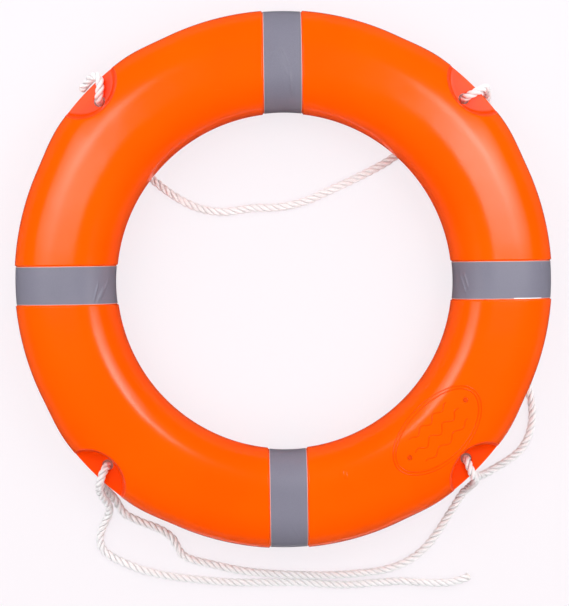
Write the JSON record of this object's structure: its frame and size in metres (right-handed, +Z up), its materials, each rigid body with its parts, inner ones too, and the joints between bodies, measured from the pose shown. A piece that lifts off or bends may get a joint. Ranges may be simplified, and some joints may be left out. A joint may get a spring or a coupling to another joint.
{
  "type": "life ring",
  "caption": "Moulded foam-filled life ring with reflective tapes in recessed grooves and a rope laced through pierced webs in scooped bites of its outer edge, lying on a flat surface.",
  "frame": {"origin": "centre of the bottom of the ring's own box, without the rope, on the surface that it lies on", "axes": "+Z up, nearly along the ring's axis: the ring leans by 1.2 degrees because its +Y side lies on its own rope; +X towards the right tape and +Y towards the top tape, as the picture shows them"},
  "size_m": [0.7176, 0.7851, 0.1177],
  "materials": {
    "shell": "semi-gloss orange moulded polyethylene",
    "foam": "cream rigid polyurethane foam",
    "plug": "orange polyethylene, cut flush",
    "tape": "grey retro-reflective tape",
    "rope": "white three-strand polypropylene rope"
  },
  "bodies": {
    "root": {"shell": "shell", "foam_core": "foam", "fill_plug": "plug", "vent_plug": "plug", "tape_right": "tape", "tape_top": "tape", "tape_left": "tape", "tape_bottom": "tape", "rope_end_top_left": "rope", "rope_crossing_left": "rope", "rope_loop_top": "rope", "rope_crossing_right": "rope", "rope_loop_right": "rope", "rope_loop_bottom": "rope", "rope_tail": "rope"}
  },
  "joints": []
}
